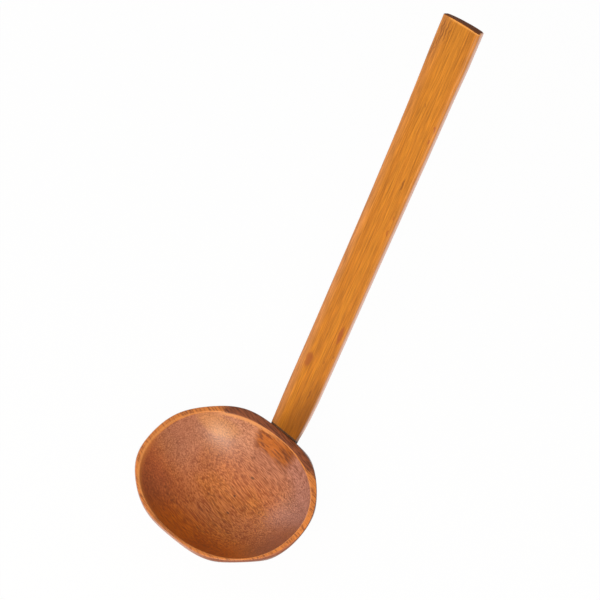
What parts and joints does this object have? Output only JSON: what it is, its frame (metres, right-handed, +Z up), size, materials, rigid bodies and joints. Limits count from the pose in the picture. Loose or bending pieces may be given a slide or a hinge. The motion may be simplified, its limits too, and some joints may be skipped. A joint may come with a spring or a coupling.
{
  "type": "wooden soup spoon",
  "caption": "Ladle-like wooden soup spoon: a faceted oval bowl that stands on a flat foot, and a flat bar handle that leans back out of its thick heel on a glued tenon.",
  "frame": {"origin": "on the flat foot, straight below the middle of the bowl's opening", "axes": "+Z up, out of the opening; +X from the bowl's front to its heel and on towards the handle; +Y to the bowl's left"},
  "size_m": [0.1799, 0.0868, 0.2076],
  "materials": {
    "bowl_wood": "lacquered, satin to glossy, reddish brown with short dark pores",
    "handle_wood": "lacquered, satin, golden brown with straight grain",
    "glue": "dried brown wood glue"
  },
  "bodies": {
    "root": {"bowl": "bowl_wood", "handle": "handle_wood", "glue_line": "glue"}
  },
  "joints": []
}
